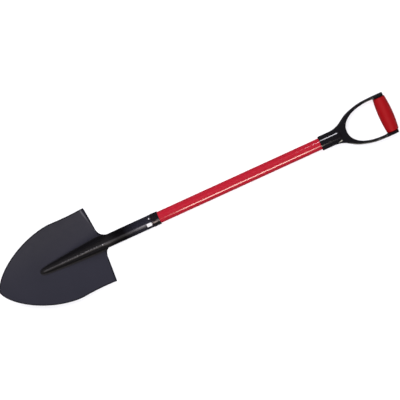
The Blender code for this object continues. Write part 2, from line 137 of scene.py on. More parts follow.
# Marks on the blade that its material reads, among them painted shade and painted highlights; pairs
# are where a fade starts and ends
RIM_WIDTH = 0.0044
# worn specks along the crest, which also serve as a painted highlight
CREST_WEAR_GLINT_X = (0.180, 0.318)
CREST_WEAR_GLINT_FADE = (0.0006, 0.0020)
CROWN_FADE = (0.40, 0.65)  # shares of the foot's side offset
# painted highlight along the step's fold, only where it catches the light
FOLD_LENGTH = 0.0100       # from the step's edge to its fold, at the corner
FOLD_FADE = (0.0006, 0.0025)
FOLD_LIT_Y = (0.058, 0.092)
# painted shade on the frog: how far past its foot at -Y it reaches, and over how much it fades
SHADE_OVERRUN = 0.0036
SHADE_FADE = 0.002
# painted highlight: a bright spot on the crest near the step
CREST_SPARKLE = (0.3060, -0.0020)
CREST_SPARKLE_RADIUS = 0.0018

# Rivet and its burr
RIVET_X = (RIVET_LOW.x + RIVET_HIGH.x) / 2 - TIP_X
RIVET_TURN = math.radians(31)
RIVET_HEAD_RADIUS = (RIVET_HIGH.x - RIVET_LOW.x) / 2
RIVET_HEAD_HEIGHT = 0.0022
RIVET_TAIL_RADIUS = 0.0040
RIVET_TAIL_HEIGHT = 0.0014
RIVET_HOLE_RADIUS = 0.00275
# bare middle of the rivet's head, also a painted highlight
RIVET_BARE_GLINT_FADE = (0.0018, 0.0026)
BURR_RADIUS = 0.0052
BURR_THICKNESS = 0.0010

# Collar
COLLAR_LIP_ROUNDING = 0.0009
COLLAR_WAIST_DEPTH = 0.0005
COLLAR_TOP_SETBACK = 0.0006
COLLAR_TOP_LIP = 0.0040    # how far the lips reach along the shaft
COLLAR_FOOT_LIP = 0.0030
COLLAR_FOOT_SLOPE = 0.0030

# Label, wrapped round the socket between two angles from its top
LABEL_ANGLES = (math.radians(3), math.radians(34))
LABEL_RADIUS = SOCKET_RADIUS + GAP
LABEL_THICKNESS = 0.0002
LABEL_ROUNDING = 0.0018
LABEL_COLUMNS = 24
LABEL_ROWS = 16

# D-grip, counted from its mouth
GRIP_LENGTH = FRAME_HIGH.x - FRAME_LOW.x
GRIP_HALF_WIDTH = (FRAME_HIGH.y - FRAME_LOW.y) / 2
GRIP_SOCKET_RADIUS = 0.0204
GRIP_SOCKET_LENGTH = 0.060
GRIP_BORE_DEPTH = 0.0618
GRIP_MOUTH_LENGTH = 0.020
GRIP_MOUTH_ROUNDING = 0.0008
ARM_OUTLINE = [(0.020, 0.0100), (0.032, 0.0140), (0.042, 0.0195), (0.056, 0.0241), (0.067, 0.0289),
               (0.089, 0.0429), (0.111, 0.0514), (0.140, 0.0580), (0.172, 0.0600),
               (GRIP_LENGTH, GRIP_HALF_WIDTH - 0.0001)]
LOOP_APEX = 0.0803
LOOP_WIDEST = 0.170
LOOP_HALF_WIDTH = 0.0520
LOOP_POWER = 2.2
BOSS_START = 0.1800
BOSS_INNER_Y = 0.0500
BOSS_CHAMFER = 0.0025
SIDE_OUTLINE = [(0.026, 0.0075), (0.040, 0.0115), (0.052, 0.0145), (0.064, 0.0165), (0.080, 0.0172),
                (0.105, 0.0166), (0.145, 0.0168), (0.172, 0.0198), (0.190, 0.0204),
                (GRIP_LENGTH, 0.0204)]
ARM_END_RADIUS = 0.0090
ARM_ROUNDING = 0.0024
ARM_DRAFT = math.tan(math.radians(5))
SOCKET_END_ROUNDING = 0.0025
FORK_BLEND = 0.004
CROSSBAR_RADIUS = 0.0090
CROSSBAR_BLEND = 0.0008
CROSSBAR_IN_BOSS = 0.002
SCREW_PILOT_RADIUS = 0.0023
SCREW_SEAT_RADIUS = 0.0043
SCREW_SEAT_DEPTH = 0.0176
NET_CELL = 0.0010

# Hand grip
HAND_END_RADIUS = 0.0168
HAND_EDGE = 0.0012
HAND_RINGS = 60

# Screw
SCREW_HEAD_RADIUS = 0.0040
SCREW_HEAD_Z = -0.0179
SCREW_HEAD_ROUNDING = 0.0009
SCREW_SHANK_RADIUS = 0.0020
SCREW_POINT_LENGTH = 0.003
SCREW_TURNS = 6
SCREW_THREAD_DEPTH = 0.0004
SCREW_SLOT = (0.0046, 0.0009, 0.0022)


def world(from_tip, y=0.0, height=0.0):
    """Point in the world from a distance to the tip, a side offset and a height over the axis."""
    return Vector((TIP_X + from_tip, y, AXIS_Z + height))


def smoothstep(value, low, high):
    t = min(max((value - low) / (high - low), 0.0), 1.0)
    return t * t * (3 - 2 * t)


def add_object(name, data):
    obj = bpy.data.objects.new(name, data)
    bpy.context.scene.collection.objects.link(obj)
    return obj


def new_piece(name, vertices, faces, material, cad_node):
    """Mesh piece that rides on the shovel and stands for a CAD node."""
    mesh = bpy.data.meshes.new(name)
    mesh.from_pydata([tuple(v) for v in vertices], [], faces)
    mesh.materials.append(material)
    obj = add_object(name, mesh)
    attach(obj, "root")
    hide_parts(cad_node)
    return obj


def smooth(obj, angle=40):
    obj.data.shade_smooth()
    obj.data.set_sharp_from_angle(angle=math.radians(angle))


# Blade surface: the same shape as in the CAD model, divided more finely

def blade_half_width(x):
    if x >= NOSE_LENGTH:
        along = (x - NOSE_LENGTH) / (STEP_CORNER_X - NOSE_LENGTH)
        return BLADE_HALF_WIDTH - SIDE_WAIST * math.sin(math.pi * min(along, 1.0))
    along = min(1 - x / NOSE_LENGTH, 1.0)
    width = BLADE_HALF_WIDTH * (1 - along ** NOSE_POWER_ALONG) ** (1 / NOSE_POWER_ACROSS)
    return max(width, TIP_HALF_WIDTH)


def soft_ramp(distance, softness):
    """Zero for negative distances, the distance itself for large ones, and a soft bend between."""
    return softness * math.log1p(math.exp(distance / softness))


def keel_height(x):
    rise = soft_ramp(HEEL_X - x, HEEL_SOFTNESS)
    return HEEL_HEIGHT + LIFT_SLOPE * rise + LIFT_CURVE * rise ** 2


def step_edge_x(y):
    """Where the step edge lies, from the neck fillet out to the corner."""
    out = (y - STEP_INNER_Y) / (BLADE_HALF_WIDTH - STEP_INNER_Y)
    return STEP_INNER_X - max(out, 0.0) * (STEP_INNER_X - STEP_CORNER_X)


def sheet_height(x, y):
    into_turn = max(x - step_edge_x(y) + TURN_LENGTH, 0.0) / TURN_LENGTH
    turned_up = TURN_RISE * into_turn ** 2 * smoothstep(y, STEP_INNER_Y, TURN_FULL_Y)
    return keel_height(x) + y ** 2 / (2 * DISH_RADIUS) + turned_up


def ridge_height(x, y):
    """Height of the frog's crest over the sheet at its foot."""
    if x <= FROG_TIP_X:
        return 0.0
    ramp = soft_ramp(CREST_BEND_X - x, CREST_BEND_SOFTNESS)
    height = SOCKET_MID_RADIUS + CREST_SLOPE * ramp - sheet_height(x, y)
    nose = min((x - FROG_TIP_X) / FROG_NOSE, 1.0)
    return height * math.sqrt(1 - (1 - nose) ** 2)


def arc_points(start, angle, sweep, radius, count=12):
    """Points of an arc that leaves start with the given tangent angle and turns by sweep."""
    sign = 1 if sweep > 0 else -1
    points = []
    for i in range(1, count + 1):
        a = angle + sweep * i / count
        y = start[0] + sign * radius * (math.sin(a) - math.sin(angle))
        z = start[1] - sign * radius * (math.cos(a) - math.cos(angle))
        points.append((y, z))
    return points


def ridge_section(x):
    """Half section of the frog from its crest to its foot, as (y, height) points."""
    to_step = min(max((x - FROG_TIP_X) / (STEP_CORNER_X - FROG_TIP_X), 0.0), 1.0)
    into_neck = smoothstep(x, STEP_CORNER_X - 0.005, ROLL_START_X + 0.012)
    crest = CREST_RADIUS_TIP + (CREST_RADIUS_STEP - CREST_RADIUS_TIP) * to_step
    crest += (SOCKET_MID_RADIUS - crest) * into_neck
    steepest = FLANK_ANGLE + (NECK_FLANK_ANGLE - FLANK_ANGLE) * into_neck
    foot = FROG_FOOT_RADIUS
    foot_y = crest + foot
    for _ in range(4):
        height = ridge_height(x, foot_y)
        slope = math.atan(foot_y / DISH_RADIUS)
        fall = (crest + foot * math.cos(slope) - height) / (crest + foot)
        angle = min(steepest, math.acos(max(min(fall, 1.0), -1.0)))
        drop = crest * (1 - math.cos(angle)) + foot * (math.cos(slope) - math.cos(angle))
        flank = max(height - drop, 0.0) / math.sin(angle) if angle > 0.01 else 0.0
        foot_y = (crest * math.sin(angle) + flank * math.cos(angle)
                  + foot * (math.sin(slope) + math.sin(angle)))
    points = [(0.0, sheet_height(x, foot_y) + height)]
    points += arc_points(points[-1], 0.0, -angle, crest)
    y, z = points[-1]
    points.append((y + flank * math.cos(angle), z - flank * math.sin(angle)))
    points += arc_points(points[-1], -angle, angle + slope, foot)
    return points


def sheet_edge(x):
    """Side offset where the middle columns of the blade end: on the sheet, or at its edge."""
    if x <= STEP_INNER_X:
        return STEP_INNER_Y / BLADE_HALF_WIDTH * blade_half_width(x)
    across = STEP_INNER_Y - SOCKET_RADIUS
    past = min((x - STEP_INNER_X) / FILLET_LENGTH, 1.0)
    return STEP_INNER_Y - across * math.sqrt(1 - (1 - past) ** 2)


def trimmed_section(x):
    """Half section from the crest over the foot and along the sheet as far as sheet_edge."""
    edge = sheet_edge(x)
    points = ridge_section(x)
    if edge > points[-1][0]:
        foot = points[-1][0]
        ys = [foot + (edge - foot) * i / 10 for i in range(1, 11)]
        return points + [(y, sheet_height(x, y)) for y in ys]
    kept = [p for p in points if p[0] < edge]
    low, high = kept[-1], points[len(kept)]
    share = (edge - low[0]) / (high[0] - low[0])
    return kept + [(edge, low[1] + share * (high[1] - low[1]))]


def spaced_along(points, count):
    """count + 1 points at equal steps along a line of points."""
    line = np.array(points)
    lengths = np.hypot(*np.diff(line, axis=0).T)
    run = np.concatenate(([0.0], np.cumsum(lengths)))
    at = np.linspace(0.0, run[-1], count + 1)
    return np.stack([np.interp(at, run, line[:, 0]), np.interp(at, run, line[:, 1])], axis=1)


def tube_section(count):
    last = math.pi - SEAM_GAP / 2 / SOCKET_MID_RADIUS
    angles = np.linspace(0.0, last, count + 1)
    return SOCKET_MID_RADIUS * np.stack([np.sin(angles), np.cos(angles)], axis=1)


def middle_section(x, count):
    """Half section of the middle columns: frog on the blade, rolled tube at the socket."""
    rolled = smoothstep(x, ROLL_START_X, ROLL_END_X)
    if rolled == 1.0:
        return tube_section(count)
    flat = spaced_along(trimmed_section(x), count)
    return flat * (1 - rolled) + tube_section(count) * rolled


def wing_points(x_middle, count):
    """Points from the middle columns out to the side of the blade, as (from tip, y, height)."""
    inner = STEP_INNER_Y / BLADE_HALF_WIDTH
    points = []
    for i in range(1, count + 1):
        share = 1 - (1 - inner) * (1 - i / count) ** WING_CROWDING
        x = x_middle * step_edge_x(share * BLADE_HALF_WIDTH) / STEP_INNER_X
        y = share * blade_half_width(x)
        points.append((x, y, sheet_height(x, y)))
    return points


def row_places():
    """Distances from the tip at which the sheet's cross sections are taken, closer at features."""
    point_end, frog_start = 0.022, FROG_TIP_X - 0.002
    # (from, to, rows, crowding of the rows towards the start)
    stretches = [(0.0, point_end, 18, 1.5),
                 (point_end, frog_start, 26, 1.0),
                 (frog_start, FROG_TIP_X + FROG_NOSE, 20, 1.0),
                 (FROG_TIP_X + FROG_NOSE, STEP_INNER_X - TURN_LENGTH, 44, 1.0),
                 (STEP_INNER_X - TURN_LENGTH, STEP_INNER_X, 8, 1.0),
                 (STEP_INNER_X, NECK_START_X, 18, 1.6),
                 (NECK_START_X, ROLL_END_X, 18, 1.0),
                 (ROLL_END_X, SOCKET_END_X, 12, 1.0)]
    rows = [0.0]
    for start, end, count, power in stretches:
        rows += [start + (end - start) * (i / count) ** power for i in range(1, count + 1)]
    return rows


def blade_grid():
    """Vertices and faces of half the sheet's middle surface."""
    vertices, faces, previous = [], [], None
    for x in row_places():
        points = [(x, y, z) for y, z in middle_section(x, RIDGE_COLUMNS)]
        if x <= STEP_INNER_X + 1e-9:
            points += wing_points(x, WING_COLUMNS)
        current = list(range(len(vertices), len(vertices) + len(points)))
        vertices += [world(*p) for p in points]
        if previous:
            for i in range(len(current) - 1):
                faces.append((previous[i], current[i], current[i + 1], previous[i + 1]))
        previous = current
    return vertices, faces


def rivet_hole():
    """Hidden cylinder that opens the rivet's hole in the socket."""
    bpy.ops.mesh.primitive_cylinder_add(vertices=48, radius=RIVET_HOLE_RADIUS, depth=0.1,
                                        location=world(RIVET_X), rotation=(-RIVET_TURN, 0, 0))
    cutter = bpy.context.object
    cutter.name = "rivet_hole_cutter"
    return cutter


def make_blade(material):
    vertices, faces = blade_grid()
    blade = new_piece("blade_sheet", vertices, faces, material, "blade")
    thicken(blade)
    # the frog mark carries painted shade, the fold mark a painted highlight, and the crest mark
    # wear that also serves as painted highlight
    for name, share in (("rim", edge_nearness), ("frog", frog_shade_cover), ("crown", frog_crown),
                        ("crest", crest_wear_and_glints), ("fold", fold_highlight_line)):
        mark(blade, name, [share(v.co.x - TIP_X, v.co.y) for v in blade.data.vertices])
    smooth(blade)
    return blade


def thicken(blade):
    """Turn half the middle surface into the whole sheet, with its rivet hole and rounded rim."""
    mirror = blade.modifiers.new("other_side", "MIRROR")
    mirror.use_axis = (False, True, False)
    mirror.use_clip = True
    mirror.merge_threshold = 0.0001
    solidify = blade.modifiers.new("sheet", "SOLIDIFY")
    solidify.thickness = SHEET
    solidify.offset = 0.0
    solidify.use_even_offset = True
    cutter = rivet_hole()
    cut_out(blade, cutter)
    rim = blade.modifiers.new("rim", "BEVEL")
    rim.width = RIM_ROUNDING
    rim.segments = 2
    rim.limit_method = "ANGLE"
    rim.angle_limit = math.radians(60)
    apply_modifiers(blade)
    bpy.data.objects.remove(cutter, do_unlink=True)


def distance_to_side(half_width, x, y):
    """Distance in plan from a point to the line y = half_width(x)."""
    slope = (half_width(x + PROBE) - half_width(x - PROBE)) / (2 * PROBE)
    return (half_width(x) - y) / math.hypot(1, slope)


def distance_to_rim(x, y):
    """Distance in plan from a point on the blade to its sheared edge."""
    if x >= NECK_START_X:
        return RIM_WIDTH
    if x > STEP_INNER_X:
        return distance_to_side(sheet_edge, x, y)
    to_side = distance_to_side(blade_half_width, x, y)
    return min(to_side, step_edge_x(y) - x) if y > STEP_INNER_Y else to_side


def edge_nearness(x, y):
    """1 on the sheet's sheared edge, falling to 0 a little way in."""
    return min(max(1 - distance_to_rim(x, abs(y)) / RIM_WIDTH, 0.0), 1.0)


def frog_fade(x, y, fade):
    """1 near the frog's crest, falling to 0 between the two side offsets that fade(foot) gives.

    Ahead of the frog's tip it is 0 all over, and on the neck and the socket 1 all over.
    """
    if x <= FROG_TIP_X:
        return 0.0
    if x >= NECK_START_X:
        return 1.0
    foot = ridge_section(x)[-1][0]
    return 1 - smoothstep(abs(y), *fade(foot))


def frog_shade_cover(x, y):
    """Painted shade: 1 on the frog's crest and flanks, falling to 0 over its foot, a little past it
    at -Y.
    """
    overrun = SHADE_OVERRUN if y < 0 else 0.0
    return frog_fade(x, y, lambda foot: (foot + overrun - FROG_FOOT_RADIUS,
                                         foot + overrun + SHADE_FADE))


def frog_crown(x, y):
    """1 on the frog's rounded crest and on the socket, falling to 0 down the flanks."""
    return frog_fade(x, y, lambda foot: [foot * share for share in CROWN_FADE])


def fold_highlight_line(x, y):
    """Painted highlight: 1 along the fold of the turned step, on the side where it catches the
    light.
    """
    if y < STEP_INNER_Y or x > STEP_INNER_X:
        return 0.0
    from_fold = abs(step_edge_x(y) - x - FOLD_LENGTH * y / BLADE_HALF_WIDTH)
    return (1 - smoothstep(from_fold, *FOLD_FADE)) * smoothstep(y, *FOLD_LIT_Y)


def crest_wear_and_glints(x, y):
    """1 along the frog's crest, where the paint wears first; its specks also stand in as a painted
    highlight on the crest.
    """
    if not CREST_WEAR_GLINT_X[0] < x < CREST_WEAR_GLINT_X[1]:
        return 0.0
    return 1 - smoothstep(abs(y), *CREST_WEAR_GLINT_FADE)


def mark(obj, name, values):
    """Vertex attribute that the piece's material reads."""
    attribute = obj.data.attributes.new(name, "FLOAT", "POINT")
    attribute.data.foreach_set("value", values)


def cut_out(obj, cutter):
    modifier = obj.modifiers.new("cut_out", "BOOLEAN")
    modifier.operation = "DIFFERENCE"
    modifier.object = cutter


def apply_modifiers(obj):
    bpy.context.view_layer.update()
    evaluated = obj.evaluated_get(bpy.context.evaluated_depsgraph_get())
    mesh = bpy.data.meshes.new_from_object(evaluated)
    obj.modifiers.clear()
    obj.data = mesh


# Turned pieces

def turned_piece(name, profile, placing, material, cad_node, steps=128, closed=True):
    """Turn a profile of (radius, height) points, outer side from the top down, about Z."""
    count = len(profile)
    vertices = []
    for k in range(steps):
        a = 2 * math.pi * k / steps
        vertices += [placing @ Vector((r * math.cos(a), r * math.sin(a), z)) for r, z in profile]
    faces = []
    for k in range(steps):
        here, there = k * count, (k + 1) % steps * count
        for i in range(count if closed else count - 1):
            j = (i + 1) % count
            faces.append((here + i, here + j, there + j, there + i))
    obj = new_piece(name, vertices, faces, material, cad_node)
    weld(obj)
    smooth(obj)
    return obj


def weld(obj, distance=1e-6):
    cage = bmesh.new()
    cage.from_mesh(obj.data)
    bmesh.ops.remove_doubles(cage, verts=cage.verts, dist=distance)
    bmesh.ops.dissolve_degenerate(cage, edges=cage.edges, dist=distance)
    bmesh.ops.recalc_face_normals(cage, faces=cage.faces)
    cage.to_mesh(obj.data)
    cage.free()


def along_shaft():
    """Placing that turns a piece made along Z so that its Z runs along the shaft."""
    return Matrix.Translation(world(0.0)) @ Matrix.Rotation(math.pi / 2, 4, "Y")


def corner(centre, radius, start, end, count=5):
    """Arc of profile points round a centre, between two angles in degrees."""
    angles = [math.radians(start + (end - start) * i / count) for i in range(count + 1)]
    return [(centre[0] + radius * math.cos(a), centre[1] + radius * math.sin(a)) for a in angles]


def make_shaft(material):
    start, end = SHAFT_LOW.x - TIP_X, SHAFT_HIGH.x - TIP_X
    outer = [(SHAFT_RADIUS - SHAFT_EDGE, end), (SHAFT_RADIUS, end - SHAFT_EDGE)]
    outer += [(SHAFT_RADIUS, end + (start - end) * i / SHAFT_RINGS) for i in range(1, SHAFT_RINGS)]
    outer += [(SHAFT_RADIUS, start + SHAFT_EDGE), (SHAFT_RADIUS - SHAFT_EDGE, start)]
    inner = SHAFT_RADIUS - SHAFT_WALL
    profile = outer + [(inner, start), (inner, end)]
    return turned_piece("shaft", profile, along_shaft(), material, "shaft_tube", steps=144)


def make_collar(material):
    start, end = COLLAR_LOW.x - TIP_X, COLLAR_HIGH.x - TIP_X
    outer = (COLLAR_HIGH.y - COLLAR_LOW.y) / 2
    top_outer = outer - COLLAR_TOP_SETBACK
    waist = outer - COLLAR_WAIST_DEPTH
    bore_rim, waist_taper = 0.0006, 0.0002
    bore = SHAFT_RADIUS + GAP
    lip = COLLAR_LIP_ROUNDING
    profile = [(bore, end), (bore + bore_rim, end)]
    profile += corner((top_outer - lip, end - lip), lip, 90, 0)
    profile += [(waist - waist_taper, end - COLLAR_TOP_LIP),
                (waist, start + COLLAR_FOOT_LIP + COLLAR_FOOT_SLOPE),
                (outer, start + COLLAR_FOOT_LIP)]
    profile += corner((outer - lip, start + lip), lip, 0, -90)
    profile += [(bore, start)]
    return turned_piece("collar_sleeve", profile, along_shaft(), material, "collar")


def rivet_placing():
    return Matrix.Translation(world(RIVET_X)) @ Matrix.Rotation(-RIVET_TURN, 4, "X")


def make_rivet(material):
    seat = SOCKET_RADIUS + GAP
    tail_seat = seat + BURR_THICKNESS + GAP
    shank = RIVET_HOLE_RADIUS - GAP
    head_edge, tail_edge, undercut = 0.0003, 0.0002, 0.0002
    profile = [(RIVET_HEAD_RADIUS * math.sin(a),
                seat + head_edge + (RIVET_HEAD_HEIGHT - head_edge) * math.cos(a))
               for a in np.linspace(0.0, math.pi / 2, 14)]
    profile += [(RIVET_HEAD_RADIUS - undercut, seat), (shank, seat), (shank, -tail_seat),
                (RIVET_TAIL_RADIUS - undercut, -tail_seat)]
    profile += [(RIVET_TAIL_RADIUS * math.sin(a),
                 -tail_seat - tail_edge - (RIVET_TAIL_HEIGHT - tail_edge) * math.cos(a))
                for a in np.linspace(math.pi / 2, 0.0, 10)]
    rivet = turned_piece("rivet", profile, rivet_placing(), material, "socket_rivet",
                         steps=64, closed=False)
    # the bare middle is also a painted highlight on the rivet's head
    mark(rivet, "bare_and_glint", [1 - smoothstep(distance_to_rivet_axis(v.co), *RIVET_BARE_GLINT_FADE)
                         for v in rivet.data.vertices])
    return rivet


def make_burr(material):
    """Washer under the rivet's tail."""
    seat = SOCKET_RADIUS + GAP
    under = seat + BURR_THICKNESS
    near_edge, far_edge = 0.0002, 0.0003
    ring = [(RIVET_HOLE_RADIUS, -seat), (BURR_RADIUS - near_edge, -seat),
            (BURR_RADIUS, -seat - near_edge), (BURR_RADIUS, -under + far_edge),
            (BURR_RADIUS - far_edge, -under), (RIVET_HOLE_RADIUS, -under)]
    return turned_piece("burr", ring, rivet_placing(), material, "rivet_burr", steps=64)


def distance_to_rivet_axis(point):
    local = rivet_placing().inverted() @ point
    return math.hypot(local.x, local.y)


# Label

def label_side(radius):
    """Grid of points on one side of the label, a rounded rectangle bent to this radius."""
    half_length = (LABEL_HIGH.x - LABEL_LOW.x) / 2
    centre_x = (LABEL_HIGH.x + LABEL_LOW.x) / 2 - TIP_X
    low, high = LABEL_ANGLES
    half_arc = (high - low) / 2 * LABEL_RADIUS
    points = []
    for i in range(LABEL_COLUMNS + 1):
        u = -1 + 2 * i / LABEL_COLUMNS
        x = half_length * math.sin(u * math.pi / 2)
        past = max(abs(x) - half_length + LABEL_ROUNDING, 0.0)
        reach = half_arc - LABEL_ROUNDING + math.sqrt(max(LABEL_ROUNDING ** 2 - past ** 2, 0.0))
        for j in range(LABEL_ROWS + 1):
            angle = (low + high) / 2 + (-1 + 2 * j / LABEL_ROWS) * reach / LABEL_RADIUS
            points.append(world(centre_x + x, -radius * math.sin(angle), radius * math.cos(angle)))
    return points


def label_faces(columns, rows):
    """Faces of two grids of points, back to back, and of the rim that joins them."""
    per_side = (columns + 1) * (rows + 1)
    faces = []
    for i in range(columns):
        for j in range(rows):
            a = i * (rows + 1) + j
            quad = (a, a + 1, a + rows + 2, a + rows + 1)
            faces.append(quad)
            faces.append(tuple(per_side + k for k in reversed(quad)))
    ring = list(range(rows)) + [rows + i * (rows + 1) for i in range(columns)]
    ring += [columns * (rows + 1) + rows - j for j in range(rows)]
    ring += [(columns - i) * (rows + 1) for i in range(columns)]
    for a, b in zip(ring, ring[1:] + ring[:1]):
        faces.append((a, per_side + a, per_side + b, b))
    return faces


def make_label(material):
    vertices = label_side(LABEL_RADIUS) + label_side(LABEL_RADIUS + LABEL_THICKNESS)
    faces = label_faces(LABEL_COLUMNS, LABEL_ROWS)
    obj = new_piece("blank_label", vertices, faces, material, "label")
    weld(obj)
    smooth(obj)
    return obj


# D-grip: a solid described by distances to its surface, then meshed as a surface net

def curve_through(points, steps=8):
    """Smooth line through the points (Catmull-Rom), with steps pieces between neighbours."""
    ends = [np.array(p) for p in points]
    ends = [ends[0] * 2 - ends[1]] + ends + [ends[-1] * 2 - ends[-2]]
    line = []
    for i in range(1, len(ends) - 2):
        a, b, c, d = ends[i - 1:i + 3]
        for k in range(steps):
            t = k / steps
            line.append((b * 2 + (c - a) * t + (a * 2 - b * 5 + c * 4 - d) * t ** 2
                         + (b * 3 - a - c * 3 + d) * t ** 3) / 2)
    return line + [ends[-2]]


def arm_inner_side(count=40):
    """Inside of one arm, from the boss back to the loop's apex."""
    line = [(GRIP_LENGTH, BOSS_INNER_Y), (BOSS_START, BOSS_INNER_Y),
            (BOSS_START - BOSS_CHAMFER, LOOP_HALF_WIDTH)]
    for i in range(count + 1):
        turn = math.pi / 2 * i / count
        along = math.sin(turn) ** (2 / LOOP_POWER)
        across = max(math.cos(turn), 0.0) ** (2 / LOOP_POWER) if i < count else 0.0
        line.append((LOOP_WIDEST - (LOOP_WIDEST - LOOP_APEX) * along, LOOP_HALF_WIDTH * across))
    return line


def mirrored_outline(half):
    return np.array([tuple(p) for p in half] + [(a, -b) for a, b in reversed(half) if b > 0])


def outline_distance(outline, a, b):
    """Signed distance of points (a, b) to a closed outline, negative inside."""
    best = np.full(a.shape, np.inf)
    inside = np.zeros(a.shape, bool)
    for (a0, b0), (a1, b1) in zip(outline, np.roll(outline, -1, axis=0)):
        da, db = a1 - a0, b1 - b0
        t = np.clip(((a - a0) * da + (b - b0) * db) / max(da * da + db * db, 1e-18), 0, 1)
        best = np.minimum(best, (a - a0 - t * da) ** 2 + (b - b0 - t * db) ** 2)
        if b0 != b1:
            inside ^= ((b0 > b) != (b1 > b)) & (a < a0 + (b - b0) * da / db)
    return np.where(inside, -1, 1) * np.sqrt(best)


class OutlineField:
    """Distances to an outline, worked out once on a grid and read between its points."""

    def __init__(self, outline, margin=0.012, cell=0.0006):
        self.cell = cell
        self.low = outline.min(axis=0) - margin
        size = np.ceil((outline.max(axis=0) + margin - self.low) / cell).astype(int) + 1
        a, b = [self.low[k] + cell * np.arange(size[k]) for k in (0, 1)]
        self.values = outline_distance(outline, *np.meshgrid(a, b, indexing="ij"))

    def __call__(self, a, b):
        spots = []
        for value, low, count in zip((a, b), self.low, self.values.shape):
            spots.append(np.clip((value - low) / self.cell, 0, count - 1.001))
        i, j = [spot.astype(int) for spot in spots]
        u, v = spots[0] - i, spots[1] - j
        grid = self.values
        near = grid[i, j] * (1 - v) + grid[i, j + 1] * v
        far = grid[i + 1, j] * (1 - v) + grid[i + 1, j + 1] * v
        return near * (1 - u) + far * u


def rounded_and(d1, d2, radius):
    """Intersection of two solids with its edges rounded."""
    u, v = d1 + radius, d2 + radius
    return np.minimum(np.maximum(u, v), 0) + np.hypot(np.maximum(u, 0), np.maximum(v, 0)) - radius


def smooth_or(d1, d2, blend):
    """Union of two solids with a fillet where they meet."""
    h = np.clip(0.5 + 0.5 * (d2 - d1) / blend, 0, 1)
    return d2 + (d1 - d2) * h - blend * h * (1 - h)


def side_outline(count=16):
    """The arms' outline seen from the side, with round ends."""
    centre = (GRIP_LENGTH - ARM_END_RADIUS, SIDE_OUTLINE[-1][1] - ARM_END_RADIUS)
    line = [p for p in curve_through(SIDE_OUTLINE) if p[0] < centre[0]]
    for i in range(count + 1):
        a = math.pi / 2 * (1 - i / count)
        line.append((centre[0] + ARM_END_RADIUS * math.cos(a),
                     centre[1] + ARM_END_RADIUS * math.sin(a)))
    return mirrored_outline(line)


FORK_FROM_ABOVE = OutlineField(mirrored_outline(curve_through(ARM_OUTLINE) + arm_inner_side()))
FORK_FROM_SIDE = OutlineField(side_outline())


def grip_hollows(x, y, z):
    """Distance to what is cut out of the D-grip: its bore, the screw's hole and its seat."""
    bore = np.maximum(np.hypot(y, z) - SHAFT_RADIUS - GAP, x - GRIP_BORE_DEPTH)
    from_screw = np.hypot(x - (SCREW_X - FRAME_LOW.x), y)
    pilot = np.maximum(from_screw - SCREW_PILOT_RADIUS, z)
    seat = np.maximum(from_screw - SCREW_SEAT_RADIUS, z + SCREW_SEAT_DEPTH)
    return np.minimum(bore, np.minimum(pilot, seat))


def grip_frame_distance(x, y, z):
    """Distance to the D-grip's surface at points counted from its mouth."""
    fork = FORK_FROM_ABOVE(x, y) + ARM_DRAFT * np.abs(z)
    solid = rounded_and(fork, FORK_FROM_SIDE(x, z), ARM_ROUNDING)
    past_socket = np.hypot(y, z) - GRIP_SOCKET_RADIUS
    ends = np.abs(x - GRIP_SOCKET_LENGTH / 2) - GRIP_SOCKET_LENGTH / 2
    socket = rounded_and(past_socket, ends, SOCKET_END_ROUNDING)
    mouth = rounded_and(past_socket, np.maximum(-x, x - GRIP_MOUTH_LENGTH), GRIP_MOUTH_ROUNDING)
    solid = smooth_or(solid, np.minimum(socket, mouth), FORK_BLEND)
    crossbar = np.maximum(np.hypot(x - (CROSSBAR_X - FRAME_LOW.x), z) - CROSSBAR_RADIUS,
                          np.abs(y) - BOSS_INNER_Y - CROSSBAR_IN_BOSS)
    solid = smooth_or(solid, crossbar, CROSSBAR_BLEND)
    return np.maximum(solid, -grip_hollows(x, y, z))


def add_crossings(field, axis, start, total, count):
    """Add to every cell where the surface cuts its edge along axis that leaves corner start."""
    end = list(start)
    end[axis] = 1
    first = tuple(slice(s, s + n) for s, n in zip(start, count.shape))
    second = tuple(slice(s, s + n) for s, n in zip(end, count.shape))
    f0, f1 = field[first], field[second]
    cut = (f0 < 0) != (f1 < 0)
    t = np.where(cut, f0 / np.where(cut, f0 - f1, 1.0), 0.0)
    for a in range(3):
        offset = t if a == axis else float(start[a])
        total[..., a] += np.where(cut, offset, 0.0)
    count += cut


def net_faces(inside, number):
    """A quad between the four cells round each grid edge that the surface cuts."""
    faces = []
    for axis in range(3):
        b, c = [np.eye(3, dtype=int)[(axis + k) % 3] for k in (1, 2)]
        for at in np.argwhere(np.diff(inside, axis=axis)):
            if at @ b == 0 or at @ c == 0:
                continue
            quad = [int(number[tuple(cell)]) for cell in (at - b - c, at - c, at, at - b)]
            faces.append(quad if inside[tuple(at)] else quad[::-1])
    return faces


def surface_net(distance, low, high, cell):
    """Closed quad mesh of the surface where distance(x, y, z) is zero."""
    axes = [np.arange(a - 1.5 * cell, b + 2.5 * cell, cell) for a, b in zip(low, high)]
    field = np.empty([len(a) for a in axes])
    yy, zz = np.meshgrid(axes[1], axes[2], indexing="ij")
    for i, x in enumerate(axes[0]):
        field[i] = distance(np.full(yy.shape, x), yy, zz)
    count = np.zeros([n - 1 for n in field.shape])
    total = np.zeros((*count.shape, 3))
    for axis in range(3):
        for p, q in ((0, 0), (0, 1), (1, 0), (1, 1)):
            start = [p, q]
            start.insert(axis, 0)
            add_crossings(field, axis, start, total, count)
    active = count > 0
    number = np.full(count.shape, -1)
    number[active] = np.arange(int(active.sum()))
    mean = total[active] / count[active][:, None]
    origin = np.array([a[0] for a in axes])
    vertices = origin + (np.argwhere(active) + mean) * cell
    return settle(vertices, distance, cell), net_faces(field < 0, number)


